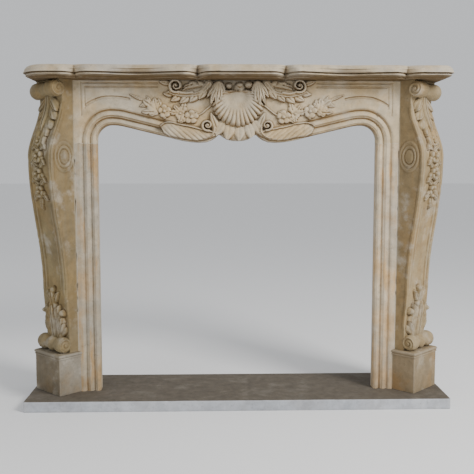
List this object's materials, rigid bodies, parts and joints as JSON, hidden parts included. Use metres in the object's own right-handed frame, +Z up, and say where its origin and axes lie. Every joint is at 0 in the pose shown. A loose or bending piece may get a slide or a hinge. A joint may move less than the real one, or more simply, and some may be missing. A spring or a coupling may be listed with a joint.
{
  "type": "fireplace mantel",
  "caption": "Carved stone fireplace surround with a serpentine shelf, arched shell frieze, angled console legs on plinths and a hearth slab.",
  "frame": {"origin": "on the floor, under the middle of the hearth slab", "axes": "+X to the right as seen from the front, -Y out of the front into the room, +Y towards the wall, +Z up"},
  "size_m": [1.6002, 0.36, 1.277],
  "materials": {
    "hearth_stone": "honed grey-beige marble, dusty, with pale worn front edge",
    "plinth_stone": "honed beige marble, darkened, with tan mottling",
    "leg_stone": "carved tan-beige marble with dark dirt in the hollows",
    "jamb_stone": "honed beige marble with vertical tan and ochre streaks",
    "frieze_stone": "carved pale beige marble with yellow-tan patina in the hollows",
    "shelf_stone": "honed pale beige marble with greyish mottling"
  },
  "bodies": {
    "root": {"hearth_slab": "hearth_stone", "plinth_left": "plinth_stone", "plinth_right": "plinth_stone", "console_left": "leg_stone", "console_right": "leg_stone", "jamb_left": "jamb_stone", "jamb_right": "jamb_stone", "frieze": "frieze_stone", "shelf": "shelf_stone"}
  },
  "joints": []
}
